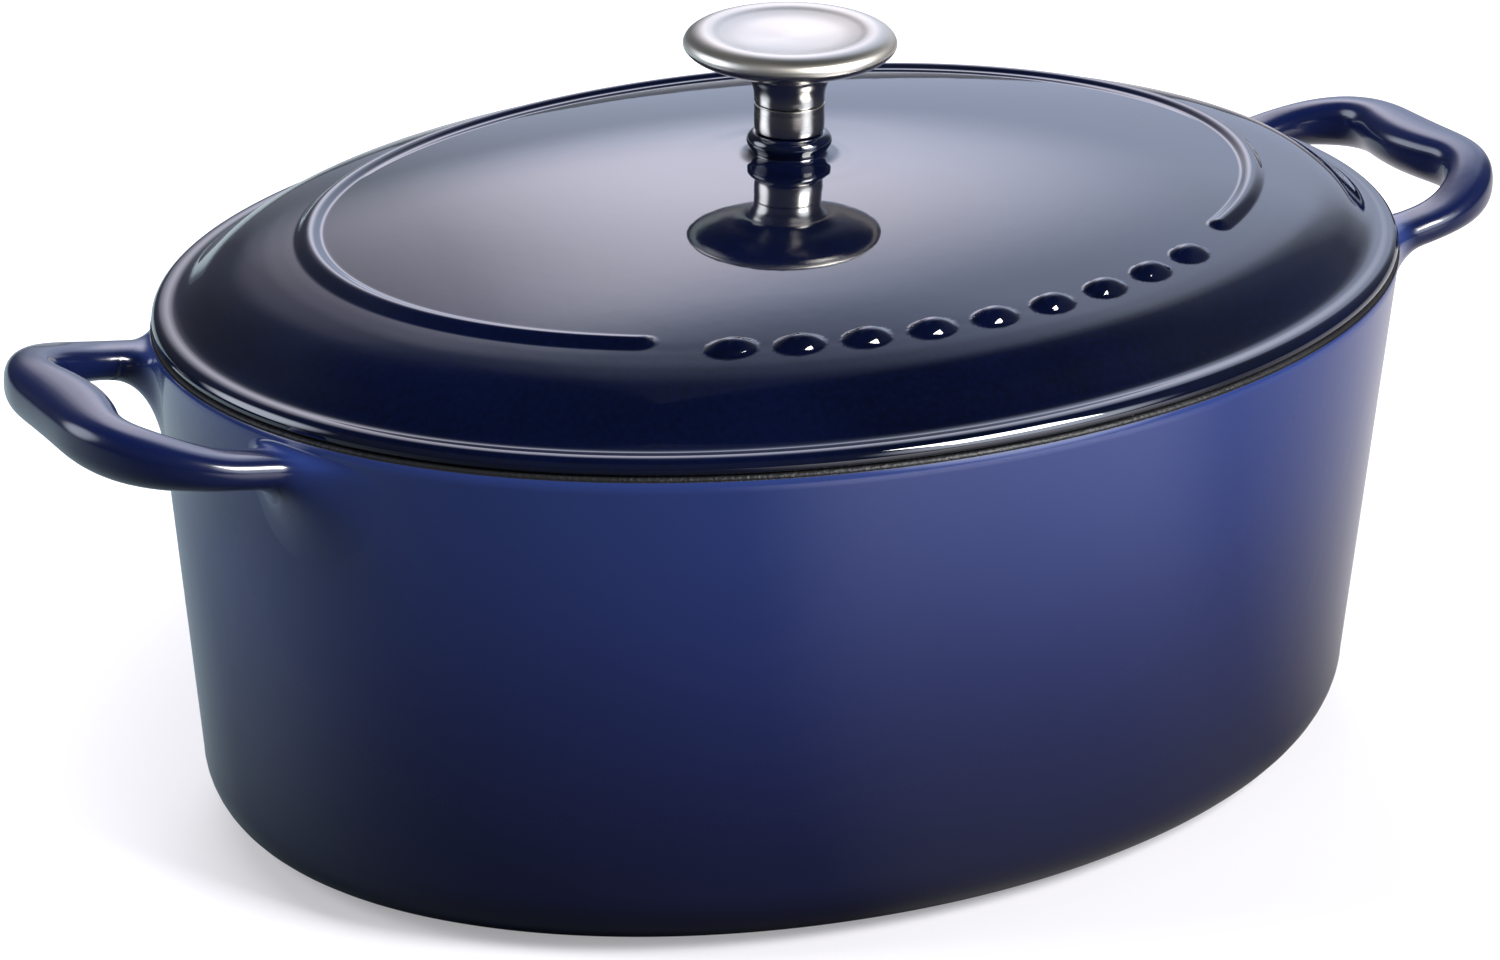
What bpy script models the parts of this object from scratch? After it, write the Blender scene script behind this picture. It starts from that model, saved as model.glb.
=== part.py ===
# Oval enamelled cast iron dutch oven with a lift-off lid and a screwed-on steel knob.
# Metres, +Z up, +X towards one side handle, origin on the floor under the middle of the pot.
import math

import bmesh
import bpy
import numpy as np

# Pot casting
potLength = 0.3200
potWidth = 0.2478
potHeight = 0.1258
wallDraftEnds = 0.0086
wallDraftSides = 0.0112
baseCornerRadius = 0.0183
wallThickness = 0.0042
floorThickness = 0.0050
cavityCornerRadius = 0.0135
rimRounding = 0.0012
cavityOvercut = 0.0100
potSegments = 72
baseCornerSteps = 5

# Side handles, cast in one with the pot
handleReach = 0.1975
handleSpan = 0.0890
handleCornerRadius = 0.0325
gripWidth = 0.0172
gripHeight = 0.0134
legWidth = 0.0122
legHeight = 0.0086
handleRootX = 0.1340
handleRootHeight = 0.1150
handleTipHeight = 0.1250
webDepth = 0.0180
webRise = 0.0020
webSpread = 0.0220
webEnd = 0.1630
webCurve = 1.5
sectionSides = 16
sectionSquareness = 2.3

# Lid casting
touchGap = 0.0003
lidEdgeInset = 0.0010
lidEdgeHeight = 0.0046
lipClearance = 0.0018
lipDrop = 0.0065
lipThickness = 0.0036
lidThickness = 0.0037
lidSegments = 64
shoulderRise = 0.0133
beadLength = 0.2424
beadWidth = 0.1804
beadHeight = 0.0017
beadHalfWidth = 0.0032
beadGapAngle = 39.0
beadEndAngle = 4.0
crownHeight = 0.1550
bossRadius = 0.0103
bossTop = 0.1610
padRadius = 0.0140
padHeight = 0.1490
screwHoleRadius = 0.0032
pipCount = 9
pipLength = 0.0120
pipWidth = 0.0088
pipHeight = 0.0019
pipSpanAngle = 30.0
pipOutset = 0.0024
pipSink = 0.0005

# Knob and its fixing
turnedSegments = 32
neckJoint = 0.1687
dishHeight = 0.1840
dishCore = 0.0030
insertRadius = 0.0050
insertBore = 0.0030
insertTop = 0.1765
insertChamfer = 0.0004
washerHole = 0.0032
washerRadius = 0.0070
washerThickness = 0.0012
springHole = 0.0031
springRadius = 0.0052
springThickness = 0.0014
springGap = 0.0006
shankRadius = 0.0027
shankTop = 0.1753
shankPoint = 0.0008
headRadius = 0.0055
headHeight = 0.0032
slotLength = 0.0140
slotWidth = 0.0014
slotDepth = 0.0014

enamelBlue = (0.020, 0.032, 0.150)
steelColor = (0.62, 0.60, 0.57)
zincColor = (0.55, 0.56, 0.57)
brassColor = (0.70, 0.52, 0.24)

halfLength = potLength / 2
halfWidth = potWidth / 2


def removeEverything():
    for item in list(bpy.data.objects):
        bpy.data.objects.remove(item, do_unlink=True)


def makeMaterial(name, color, roughness, metallic):
    material = bpy.data.materials.new(name)
    material.use_nodes = True
    shader = material.node_tree.nodes["Principled BSDF"]
    shader.inputs["Base Color"].default_value = (*color, 1.0)
    shader.inputs["Roughness"].default_value = roughness
    shader.inputs["Metallic"].default_value = metallic
    material.diffuse_color = (*color, 1.0)
    return material


def addObject(name, mesh):
    piece = bpy.data.objects.new(name, mesh)
    bpy.context.scene.collection.objects.link(piece)
    return piece


def loopsToMesh(name, loops, closedAround):
    """Skin a stack of equal rings; the ends are capped unless the stack closes on itself."""
    count = len(loops[0])
    points = [tuple(point) for loop in loops for point in loop]
    faces = []
    rows = len(loops)
    for row in range(rows if closedAround else rows - 1):
        lower = row * count
        upper = ((row + 1) % rows) * count
        for step in range(count):
            after = (step + 1) % count
            faces.append((lower + step, lower + after, upper + after, upper + step))
    if not closedAround:
        faces.append(tuple(range(count - 1, -1, -1)))
        faces.append(tuple((rows - 1) * count + step for step in range(count)))
    mesh = bpy.data.meshes.new(name)
    mesh.from_pydata(points, [], faces)
    mesh.update()
    shell = bmesh.new()
    shell.from_mesh(mesh)
    bmesh.ops.recalc_face_normals(shell, faces=shell.faces)
    shell.to_mesh(mesh)
    shell.free()
    return addObject(name, mesh)


def ovalRing(semiX, semiY, height, segments):
    angles = np.linspace(0, 2 * math.pi, segments, endpoint=False)
    return [(semiX * math.cos(a), semiY * math.sin(a), height) for a in angles]


def turnedPiece(name, profile, bored):
    """Turn a (radius, height) profile about the knob's axis, as a ring or as a solid with closed ends."""
    loops = [ovalRing(radius, radius, height, turnedSegments) for radius, height in profile]
    return loopsToMesh(name, loops, bored)


def applyBoolean(target, tool, operation):
    modifier = target.modifiers.new(operation.lower(), "BOOLEAN")
    modifier.operation = operation
    modifier.solver = "EXACT"
    modifier.object = tool
    depsgraph = bpy.context.evaluated_depsgraph_get()
    result = bpy.data.meshes.new_from_object(target.evaluated_get(depsgraph))
    target.modifiers.clear()
    target.data = result
    bpy.data.objects.remove(tool, do_unlink=True)


def finish(piece, material, smoothAngle=38.0):
    piece.data.materials.clear()
    piece.data.materials.append(material)
    for face in piece.data.polygons:
        face.use_smooth = True
        face.material_index = 0
    piece.data.set_sharp_from_angle(angle=math.radians(smoothAngle))


def wallInsets(height):
    """How far the outer wall has drawn in, at the ends and at the sides."""
    fall = (potHeight - height) / (potHeight - baseCornerRadius)
    return wallDraftEnds * fall, wallDraftSides * fall


def outerShell():
    loops = []
    drawnX, drawnY = wallInsets(baseCornerRadius)
    for step in range(baseCornerSteps + 1):
        turn = math.pi / 2 * step / baseCornerSteps
        tuck = baseCornerRadius * (1 - math.sin(turn))
        height = baseCornerRadius * (1 - math.cos(turn))
        loops.append(ovalRing(halfLength - drawnX - tuck, halfWidth - drawnY - tuck, height, potSegments))
    for height, tuck in ((potHeight - rimRounding, 0.0),
                         (potHeight - 0.3 * rimRounding, 0.3 * rimRounding),
                         (potHeight, rimRounding)):
        inX, inY = wallInsets(height)
        loops.append(ovalRing(halfLength - inX - tuck, halfWidth - inY - tuck, height, potSegments))
    return loopsToMesh("pot_body", loops, False)


def cavityTool():
    loops = []
    drawnX, drawnY = wallInsets(floorThickness + cavityCornerRadius)
    floorX = halfLength - drawnX - wallThickness
    floorY = halfWidth - drawnY - wallThickness
    for step in range(baseCornerSteps + 1):
        turn = math.pi / 2 * step / baseCornerSteps
        tuck = cavityCornerRadius * (1 - math.sin(turn))
        height = floorThickness + cavityCornerRadius * (1 - math.cos(turn))
        loops.append(ovalRing(floorX - tuck, floorY - tuck, height, potSegments))
    mouth = potHeight + cavityOvercut
    drawnX, drawnY = wallInsets(mouth)
    mouthX = halfLength - drawnX - wallThickness
    mouthY = halfWidth - drawnY - wallThickness
    loops.append(ovalRing(mouthX, mouthY, mouth, potSegments))
    return loopsToMesh("cavity_tool", loops, False)


def handleStations():
    """Outer edge of one loop handle from root to root, with the section size at each station."""
    halfSpan = handleSpan / 2
    cornerX = handleReach - handleCornerRadius
    cornerY = halfSpan - handleCornerRadius
    half = [(x, halfSpan) for x in (handleRootX, 0.1420, 0.1480, 0.1530, 0.1580)]
    for step in range(7):
        turn = math.pi / 2 * (1 - step / 6)
        roundX = cornerX + handleCornerRadius * math.cos(turn)
        roundY = cornerY + handleCornerRadius * math.sin(turn)
        half.append((roundX, roundY))
    path = half + [(handleReach, 0.0)] + [(x, -y) for x, y in reversed(half)]
    stations = []
    for x, y in path:
        along = (x - handleRootX) / (handleReach - handleRootX)
        height = handleRootHeight + (handleTipHeight - handleRootHeight) * along
        towardMiddle = min(1.0, max(0.0, 1 - abs(y) / (halfSpan - legWidth)))
        ease = towardMiddle * towardMiddle * (3 - 2 * towardMiddle)
        wide = legWidth + (gripWidth - legWidth) * ease
        pastCorner = min(1.0, max(0.0, (x - cornerX) / handleCornerRadius))
        tall = (legHeight + (gripHeight - legHeight) * pastCorner) / 2
        web = max(0.0, (webEnd - x) / (webEnd - handleRootX)) ** webCurve
        above = tall + webRise * web
        below = tall + webDepth * web
        stations.append((x, y, height, wide, web * webSpread / 2, above, below))
    return stations


def handleTool(side):
    stations = handleStations()
    loops = []
    for index, (x, y, height, wide, spread, above, below) in enumerate(stations):
        before = stations[max(0, index - 1)]
        after = stations[min(len(stations) - 1, index + 1)]
        alongX, alongY = after[0] - before[0], after[1] - before[1]
        length = math.hypot(alongX, alongY)
        acrossX, acrossY = alongY / length, -alongX / length
        outward = math.copysign(1.0, acrossX * x + acrossY * y)
        ring = []
        for step in range(sectionSides):
            turn = 2 * math.pi * (step + 0.5) / sectionSides
            power = 2 / sectionSquareness
            u = math.copysign(abs(math.cos(turn)) ** power, math.cos(turn)) * (wide / 2 + spread)
            u -= wide / 2 * outward
            v = math.copysign(abs(math.sin(turn)) ** power, math.sin(turn))
            v *= above if v > 0 else below
            ring.append((side * (x + acrossX * u), y + acrossY * u, height + v))
        loops.append(ring)
    return loopsToMesh("handle_tool", loops, False)


def makePot(material):
    pot = outerShell()
    for side in (1, -1):
        applyBoolean(pot, handleTool(side), "UNION")
    applyBoolean(pot, cavityTool(), "DIFFERENCE")
    finish(pot, material)


def beadStrength(angle):
    """1 along the raised bead, easing to 0 at each end of the open stretch on the -Y side."""
    fromFront = abs((math.degrees(angle) + 90 + 180) % 360 - 180)
    return min(1.0, max(0.0, (fromFront - beadGapAngle) / beadEndAngle))


def lidTopRings():
    """Ring sizes of the lid's upper side as (semiX, semiY, height, bead height)."""
    seat = potHeight + touchGap
    top = seat + lidEdgeHeight
    rings = []
    for inset, height in ((lidEdgeInset + 0.0007, seat), (lidEdgeInset, seat + 0.0009),
                          (lidEdgeInset, top - 0.0018), (lidEdgeInset + 0.0006, top - 0.0006),
                          (lidEdgeInset + 0.0019, top), (0.0062, top + 0.0002), (0.0082, top + 0.0009),
                          (0.0108, top + 0.0028), (0.0150, top + 0.0060), (0.0205, top + 0.0090),
                          (0.0265, top + 0.0112), (0.0320, top + 0.0125)):
        rings.append((halfLength - inset, halfWidth - inset, height, 0.0))
    shoulder = top + shoulderRise
    beadX, beadY = beadLength / 2, beadWidth / 2
    for offset, lift in ((1.0, 0.0), (0.55, 0.75), (0.0, 1.0), (-0.55, 0.75), (-1.0, 0.0)):
        slope = -offset * 0.0005
        rings.append((beadX + offset * beadHalfWidth, beadY + offset * beadHalfWidth,
                      shoulder + slope, lift * beadHeight))
    for part in (0.22, 0.45, 0.68, 0.86):
        semiX = beadX + (bossRadius - beadX) * part
        semiY = beadY + (bossRadius - beadY) * part
        height = shoulder + 0.0005 + (crownHeight - shoulder - 0.0005) * (1 - (1 - part) ** 2)
        rings.append((semiX, semiY, height, 0.0))
    for growth, rise in ((0.0012, 0.0002), (-0.0012, 0.0012), (-0.0003, 0.0022),
                         (0.0, 0.0036), (-0.0004, 0.0049)):
        rings.append((bossRadius + growth, bossRadius + growth, crownHeight + rise, 0.0))
    for radius in (bossRadius - 0.0016, screwHoleRadius):
        rings.append((radius, radius, bossTop, 0.0))
    return rings


def lidUnderRings():
    """Ring sizes of the lid's underside, from the screw hole out to the flange."""
    seat = potHeight + touchGap
    top = seat + lidEdgeHeight
    rings = [(screwHoleRadius, screwHoleRadius, padHeight),
             (padRadius - 0.001, padRadius - 0.001, padHeight),
             (padRadius, padRadius, padHeight + 0.0008)]
    beadX, beadY = beadLength / 2, beadWidth / 2
    shoulder = top + shoulderRise
    for part in (0.78, 0.50, 0.24, 0.0):
        semiX = beadX + (padRadius - beadX) * part
        semiY = beadY + (padRadius - beadY) * part
        height = shoulder + (crownHeight - shoulder) * (1 - (1 - part) ** 2) - lidThickness
        rings.append((semiX, semiY, height))
    lipOuter = wallThickness + lipClearance
    lipInner = lipOuter + lipThickness
    for inset, height in ((0.0320, top + 0.0086), (0.0240, top + 0.0062), (0.0175, top + 0.0028),
                          (lipInner + 0.0030, seat - 0.0005), (lipInner + 0.0004, seat - lipDrop + 0.0010),
                          (lipInner - 0.0008, seat - lipDrop), (lipOuter + 0.0008, seat - lipDrop),
                          (lipOuter, seat - lipDrop + 0.0010), (lipOuter - 0.0003, seat - 0.0006),
                          (lipOuter - 0.0009, seat)):
        rings.append((halfLength - inset, halfWidth - inset, height))
    return rings


def makeLid(material):
    angles = np.linspace(0, 2 * math.pi, lidSegments, endpoint=False)
    loops = []
    for semiX, semiY, height, lift in lidTopRings():
        ring = ovalRing(semiX, semiY, height, lidSegments)
        loops.append([(x, y, z + lift * beadStrength(a)) for a, (x, y, z) in zip(angles, ring)])
    for semiX, semiY, height in lidUnderRings():
        loops.append(ovalRing(semiX, semiY, height, lidSegments))
    lid = loopsToMesh("lid_casting", loops, True)
    applyBoolean(lid, pipTool(), "UNION")
    finish(lid, material)


def pipTool():
    """A plain row of raised pips that fills the bead's open stretch."""
    points = []
    faces = []
    shoulder = potHeight + touchGap + lidEdgeHeight + shoulderRise
    around = 12
    levels = ((1.00, -0.0030), (0.94, 0.0004), (0.62, 0.0015), (0.22, pipHeight))
    for pip in range(pipCount):
        fromFront = math.radians(pipSpanAngle * (2 * pip / (pipCount - 1) - 1))
        angle = -math.pi / 2 + fromFront
        centreX = (beadLength / 2 + pipOutset) * math.cos(angle)
        centreY = (beadWidth / 2 + pipOutset) * math.sin(angle)
        alongX = -beadLength / 2 * math.sin(angle)
        alongY = beadWidth / 2 * math.cos(angle)
        length = math.hypot(alongX, alongY)
        alongX, alongY = alongX / length, alongY / length
        first = len(points)
        for scale, height in levels:
            for step in range(around):
                turn = 2 * math.pi * step / around
                u = math.cos(turn) * pipLength / 2 * scale
                v = math.sin(turn) * pipWidth / 2 * scale
                points.append((centreX + alongX * u + alongY * v, centreY + alongY * u - alongX * v,
                               shoulder - pipSink + height))
        for level in range(len(levels) - 1):
            for step in range(around):
                after = (step + 1) % around
                low = first + level * around
                high = low + around
                faces.append((low + step, low + after, high + after, high + step))
        faces.append(tuple(first + step for step in range(around)))
        last = first + (len(levels) - 1) * around
        faces.append(tuple(last + step for step in range(around)))
    mesh = bpy.data.meshes.new("pip_tool")
    mesh.from_pydata(points, [], faces)
    shell = bmesh.new()
    shell.from_mesh(mesh)
    bmesh.ops.recalc_face_normals(shell, faces=shell.faces)
    shell.to_mesh(mesh)
    shell.free()
    return addObject("pip_tool", mesh)


def makeKnob(steel, brass):
    capBore = insertRadius + touchGap
    cap = turnedPiece("knob_cap", (
        (dishCore, insertTop + touchGap), (capBore, insertTop + touchGap), (capBore, neckJoint),
        (0.0087, neckJoint), (0.0090, 0.1712), (0.0094, 0.1738), (0.0104, 0.1758),
        (0.0130, 0.1771), (0.0175, 0.1783), (0.0215, 0.1797), (0.0246, 0.1814), (0.0258, 0.1829),
        (0.0254, 0.1845), (0.0238, 0.1859), (0.0216, 0.1868), (0.0198, 0.1866), (0.0180, 0.1857),
        (0.0150, 0.1848), (0.0090, 0.1842), (dishCore, dishHeight)), False)
    finish(cap, steel)
    sleeve = turnedPiece("knob_sleeve", (
        (capBore, bossTop + touchGap), (0.0081, bossTop + touchGap), (0.0084, bossTop + 0.0007),
        (0.0085, neckJoint - 0.0010), (0.0083, neckJoint - touchGap),
        (capBore, neckJoint - touchGap)), True)
    finish(sleeve, steel)
    insertLow = bossTop + 2 * touchGap
    insert = turnedPiece("knob_insert", (
        (insertBore, insertLow), (insertRadius - insertChamfer, insertLow),
        (insertRadius, insertLow + insertChamfer), (insertRadius, insertTop - insertChamfer),
        (insertRadius - insertChamfer, insertTop), (insertBore, insertTop)), True)
    finish(insert, brass)


def makeFixings(zinc):
    washerTop = padHeight - touchGap
    washerLow = washerTop - washerThickness
    washer = turnedPiece("flat_washer", (
        (washerHole, washerLow), (washerRadius, washerLow),
        (washerRadius, washerTop), (washerHole, washerTop)), True)
    finish(washer, zinc)
    springTop = washerLow - touchGap
    springLow = springTop - springThickness
    spring = turnedPiece("lock_washer", (
        (springHole, springLow), (springRadius, springLow),
        (springRadius, springTop), (springHole, springTop)), True)
    ringMiddle = (springHole + springRadius) / 2
    cutSlot(spring, ringMiddle, ringMiddle, springGap, (springTop + springLow) / 2, 3 * springThickness)
    finish(spring, zinc)
    headTop = springLow - touchGap
    headLow = headTop - headHeight
    screw = turnedPiece("knob_screw", (
        (shankRadius + 0.0004, headLow), (0.0044, headLow + 0.0003), (0.0052, headLow + 0.0013),
        (headRadius, headTop - 0.0006), (headRadius - 0.0002, headTop), (shankRadius, headTop),
        (shankRadius, shankTop - shankPoint), (shankRadius - shankPoint, shankTop)), False)
    cutSlot(screw, 0.0, slotLength, slotWidth, headLow, 2 * slotDepth)
    finish(screw, zinc)


def cutSlot(piece, centreX, length, width, height, depth):
    """Cut a straight slot along X, centred over the piece's axis or beside it."""
    points = []
    for z in (height - depth / 2, height + depth / 2):
        for x, y in ((-1, -1), (1, -1), (1, 1), (-1, 1)):
            points.append((centreX + x * length / 2, y * width / 2, z))
    faces = [(3, 2, 1, 0), (4, 5, 6, 7), (0, 1, 5, 4), (1, 2, 6, 5), (2, 3, 7, 6), (3, 0, 4, 7)]
    mesh = bpy.data.meshes.new("slot_tool")
    mesh.from_pydata(points, [], faces)
    applyBoolean(piece, addObject("slot_tool", mesh), "DIFFERENCE")


removeEverything()
potEnamel = makeMaterial("pot_enamel", enamelBlue, 0.12, 0.0)
lidEnamel = makeMaterial("lid_enamel", enamelBlue, 0.12, 0.0)
steel = makeMaterial("brushed_steel", steelColor, 0.32, 1.0)
zinc = makeMaterial("zinc_steel", zincColor, 0.38, 1.0)
brass = makeMaterial("insert_brass", brassColor, 0.35, 1.0)
makePot(potEnamel)
makeLid(lidEnamel)
makeKnob(steel, brass)
makeFixings(zinc)
for item in bpy.data.objects:
    print(item.name, sum(len(face.vertices) - 2 for face in item.data.polygons))
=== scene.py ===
import math

import bpy
import numpy as np
from mathutils import Matrix, Vector


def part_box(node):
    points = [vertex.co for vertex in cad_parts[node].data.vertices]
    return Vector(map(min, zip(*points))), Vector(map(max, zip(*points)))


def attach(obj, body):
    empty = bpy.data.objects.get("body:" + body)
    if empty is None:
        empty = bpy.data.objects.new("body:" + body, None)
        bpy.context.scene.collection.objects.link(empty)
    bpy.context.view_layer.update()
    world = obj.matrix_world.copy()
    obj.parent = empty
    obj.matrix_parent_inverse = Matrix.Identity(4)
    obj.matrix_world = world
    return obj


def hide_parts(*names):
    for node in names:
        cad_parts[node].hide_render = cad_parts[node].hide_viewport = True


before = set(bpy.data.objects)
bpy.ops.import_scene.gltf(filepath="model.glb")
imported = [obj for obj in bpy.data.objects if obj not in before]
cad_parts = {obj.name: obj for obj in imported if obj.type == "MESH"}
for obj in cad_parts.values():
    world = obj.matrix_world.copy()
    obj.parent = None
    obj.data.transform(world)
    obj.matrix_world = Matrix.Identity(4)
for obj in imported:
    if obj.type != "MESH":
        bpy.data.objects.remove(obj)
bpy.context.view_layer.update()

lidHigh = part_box("lid_casting")[1]
sleeveLow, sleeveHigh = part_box("knob_sleeve")
rimTop = 0.1258  # the handles stand a little higher than this
seat = rimTop + 0.0003  # the lid rests a hair above the rim


cameraSet = {
    "target": (-0.0078, 0.0045, 0.0696),
    "distance": 1.2804,
    "azimuth": -30.29,
    "elevation": 22.76,
    "roll": 0.31,
    "lens": 124.1,
    "sensor": 36.0,
    "clipStart": 0.05,
}


# Unit direction that is so far round from the camera's side, and so high
def turned(degrees, lift=0.0):
    az, el = math.radians(cameraSet["azimuth"] + degrees), math.radians(lift)
    return Vector((math.sin(az) * math.cos(el), -math.cos(az) * math.cos(el), math.sin(el)))


def placeCamera(s):
    back = turned(0.0, s["elevation"])
    right = Vector((0, 0, 1)).cross(back).normalized()
    up = back.cross(right)
    roll = math.radians(s["roll"])
    across = right * math.cos(roll) + up * math.sin(roll)
    upward = up * math.cos(roll) - right * math.sin(roll)
    eye = Vector(s["target"]) + back * s["distance"]
    data = bpy.data.cameras.new("camera")
    data.sensor_width = s["sensor"]
    data.lens = s["lens"]
    data.clip_start = s["clipStart"]
    camera = bpy.data.objects.new("camera", data)
    bpy.context.scene.collection.objects.link(camera)
    columns = Matrix((across, upward, back)).transposed()
    camera.matrix_world = Matrix.Translation(eye) @ columns.to_4x4()
    bpy.context.scene.camera = camera


lights = {
    # name: (turn from the camera's side, elevation, distance, width, height, watts, colour)
    "back_softbox": (205, 48, 1.9, 1.7, 0.90, 26, (1.0, 0.98, 1.0)),
    "front_key": (58, 38, 1.8, 0.7, 0.7, 43, (1.0, 0.99, 0.98)),
    "left_fill": (-78, 36, 1.8, 0.5, 0.8, 10, (0.97, 0.98, 1.0)),
}
lightsFace = Vector((0.0, 0.0, 0.11))  # the point that every lamp looks at


def placeLights(table):
    for name, (turn, lift, distance, width, height, watts, colour) in table.items():
        toward = turned(turn, lift)
        data = bpy.data.lights.new(name, "AREA")
        data.shape = "RECTANGLE"
        data.size, data.size_y = width, height
        data.energy = watts
        data.color = colour
        lamp = bpy.data.objects.new(name, data)
        lamp.location = lightsFace + toward * distance
        lamp.rotation_euler = toward.to_track_quat("Z", "Y").to_euler()
        lamp.visible_glossy = name == "front_key"  # otherwise the glaze mirrors the world's own glow
        bpy.context.scene.collection.objects.link(lamp)


def newTree(owner):
    owner.use_nodes = True
    tree = owner.node_tree
    tree.nodes.clear()
    return tree


def addNode(tree, kind, **settings):
    node = tree.nodes.new(kind)
    for key, value in settings.items():
        setattr(node, key, value)
    return node


def objectPlace(tree):
    return addNode(tree, "ShaderNodeTexCoord").outputs["Object"]


def axisParts(tree, place):
    node = addNode(tree, "ShaderNodeSeparateXYZ")
    tree.links.new(place, node.inputs[0])
    return node.outputs


def mathNode(tree, operation, first, second=None):
    node = addNode(tree, "ShaderNodeMath", operation=operation)
    for socket, value in zip(node.inputs, (first, second)):
        if isinstance(value, (int, float)):
            socket.default_value = value
        elif value is not None:
            tree.links.new(value, socket)
    return node.outputs[0]


def vectorNode(tree, operation, place, other=None):
    node = addNode(tree, "ShaderNodeVectorMath", operation=operation)
    tree.links.new(place, node.inputs[0])
    if other is not None:
        node.inputs[1].default_value = other
    givesNumber = operation in ("DOT_PRODUCT", "LENGTH", "DISTANCE")
    return node.outputs["Value" if givesNumber else "Vector"]


# How far a direction or place points along another one
def towards(tree, place, direction):
    return vectorNode(tree, "DOT_PRODUCT", place, direction)


def rangeNode(tree, value, fromLow, fromHigh, toLow, toHigh):
    node = addNode(tree, "ShaderNodeMapRange", interpolation_type="SMOOTHSTEP")
    tree.links.new(value, node.inputs["Value"])
    limits = {"From Min": fromLow, "From Max": fromHigh, "To Min": toLow, "To Max": toHigh}
    for key, number in limits.items():
        node.inputs[key].default_value = number
    return node.outputs["Result"]


# Sockets 6 and 7 are the two colours and output 2 is their mix
def mixColour(tree, factor, first, second, blend="MIX"):
    node = addNode(tree, "ShaderNodeMix", data_type="RGBA", blend_type=blend)
    if isinstance(factor, (int, float)):
        node.inputs[0].default_value = factor
    else:
        tree.links.new(factor, node.inputs[0])
    for socket, value in ((node.inputs[6], first), (node.inputs[7], second)):
        if isinstance(value, tuple):
            socket.default_value = (*value, 1.0)
        else:
            tree.links.new(value, socket)
    return node.outputs[2]


def colourRamp(tree, value, stops):
    node = addNode(tree, "ShaderNodeValToRGB")
    ramp = node.color_ramp
    ramp.interpolation = "B_SPLINE"
    while len(ramp.elements) < len(stops):
        ramp.elements.new(0.5)
    for element, (where, colour) in zip(ramp.elements, stops):
        element.position = where
        element.color = (*colour, 1.0)
    tree.links.new(value, node.inputs[0])
    return node.outputs["Color"]


def greyRamp(tree, value, stops):
    return colourRamp(tree, value, [(where, (glow,) * 3) for where, glow in stops])


studio = {
    "seen": 1.0,  # what the camera sees behind the pot
    "seenTint": (1.0, 1.0, 1.0),
    "middle": 171.0,  # the paper behind glows in this direction and falls off to the sides
    "spread": ((0.0, 0.05), (0.60, 0.06), (0.89, 0.09), (0.945, 0.42), (0.975, 1.0)),
    # glow that the glaze mirrors, from the horizon (0) to overhead (1)
    "climb": ((0.0, 0.66), (0.20, 0.80), (0.42, 1.18), (0.58, 1.46), (0.71, 0.80), (0.85, 0.05)),
    "bloomTurn": 188.0,  # a brighter patch, a little left of straight behind
    "bloomLift": 29.0,
    "bloom": 1.10,
    "bloomSpan": (0.93, 1.0),
    "bloomTint": (0.87, 0.85, 1.0),
    "flanks": ((-92, 20, 3.4), (58, 20, 3.4)),  # soft panels: turn, lift, glow
    "flankSpan": (0.91, 0.99),
    "tint": (0.81, 0.87, 1.0),
    "backTint": (0.67, 0.76, 1.0),
}


def makeWorld(s):
    world = bpy.data.worlds.new("studio")
    bpy.context.scene.world = world
    tree = newTree(world)
    place = addNode(tree, "ShaderNodeTexCoord").outputs["Generated"]
    heading = vectorNode(tree, "NORMALIZE", vectorNode(tree, "MULTIPLY", place, (1.0, 1.0, 0.0)))
    around = greyRamp(tree, towards(tree, heading, turned(s["middle"])), s["spread"])
    climb = greyRamp(tree, axisParts(tree, place)["Z"], s["climb"])
    bloomAim = turned(s["bloomTurn"], s["bloomLift"])
    bloom = rangeNode(tree, towards(tree, place, bloomAim), *s["bloomSpan"], 0.0, 1.0)
    lifted = mathNode(tree, "ADD", climb, mathNode(tree, "MULTIPLY", bloom, s["bloom"]))
    glow = mathNode(tree, "MULTIPLY", around, lifted)
    for turn, lift, strength in s["flanks"]:
        panel = towards(tree, place, turned(turn, lift))
        glow = mathNode(tree, "ADD", glow, rangeNode(tree, panel, *s["flankSpan"], 0.0, strength))
    toCamera = addNode(tree, "ShaderNodeLightPath").outputs["Is Camera Ray"]
    seen = mathNode(tree, "MULTIPLY", toCamera, s["seen"])
    unseen = mathNode(tree, "MULTIPLY", glow, mathNode(tree, "SUBTRACT", 1.0, toCamera))
    tint = mixColour(tree, bloom, mixColour(tree, around, s["tint"], s["backTint"]), s["bloomTint"])
    shade = addNode(tree, "ShaderNodeBackground")
    tree.links.new(mathNode(tree, "ADD", seen, unseen), shade.inputs["Strength"])
    tree.links.new(mixColour(tree, toCamera, tint, s["seenTint"]), shade.inputs["Color"])
    output = addNode(tree, "ShaderNodeOutputWorld")
    tree.links.new(shade.outputs[0], output.inputs[0])


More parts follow.
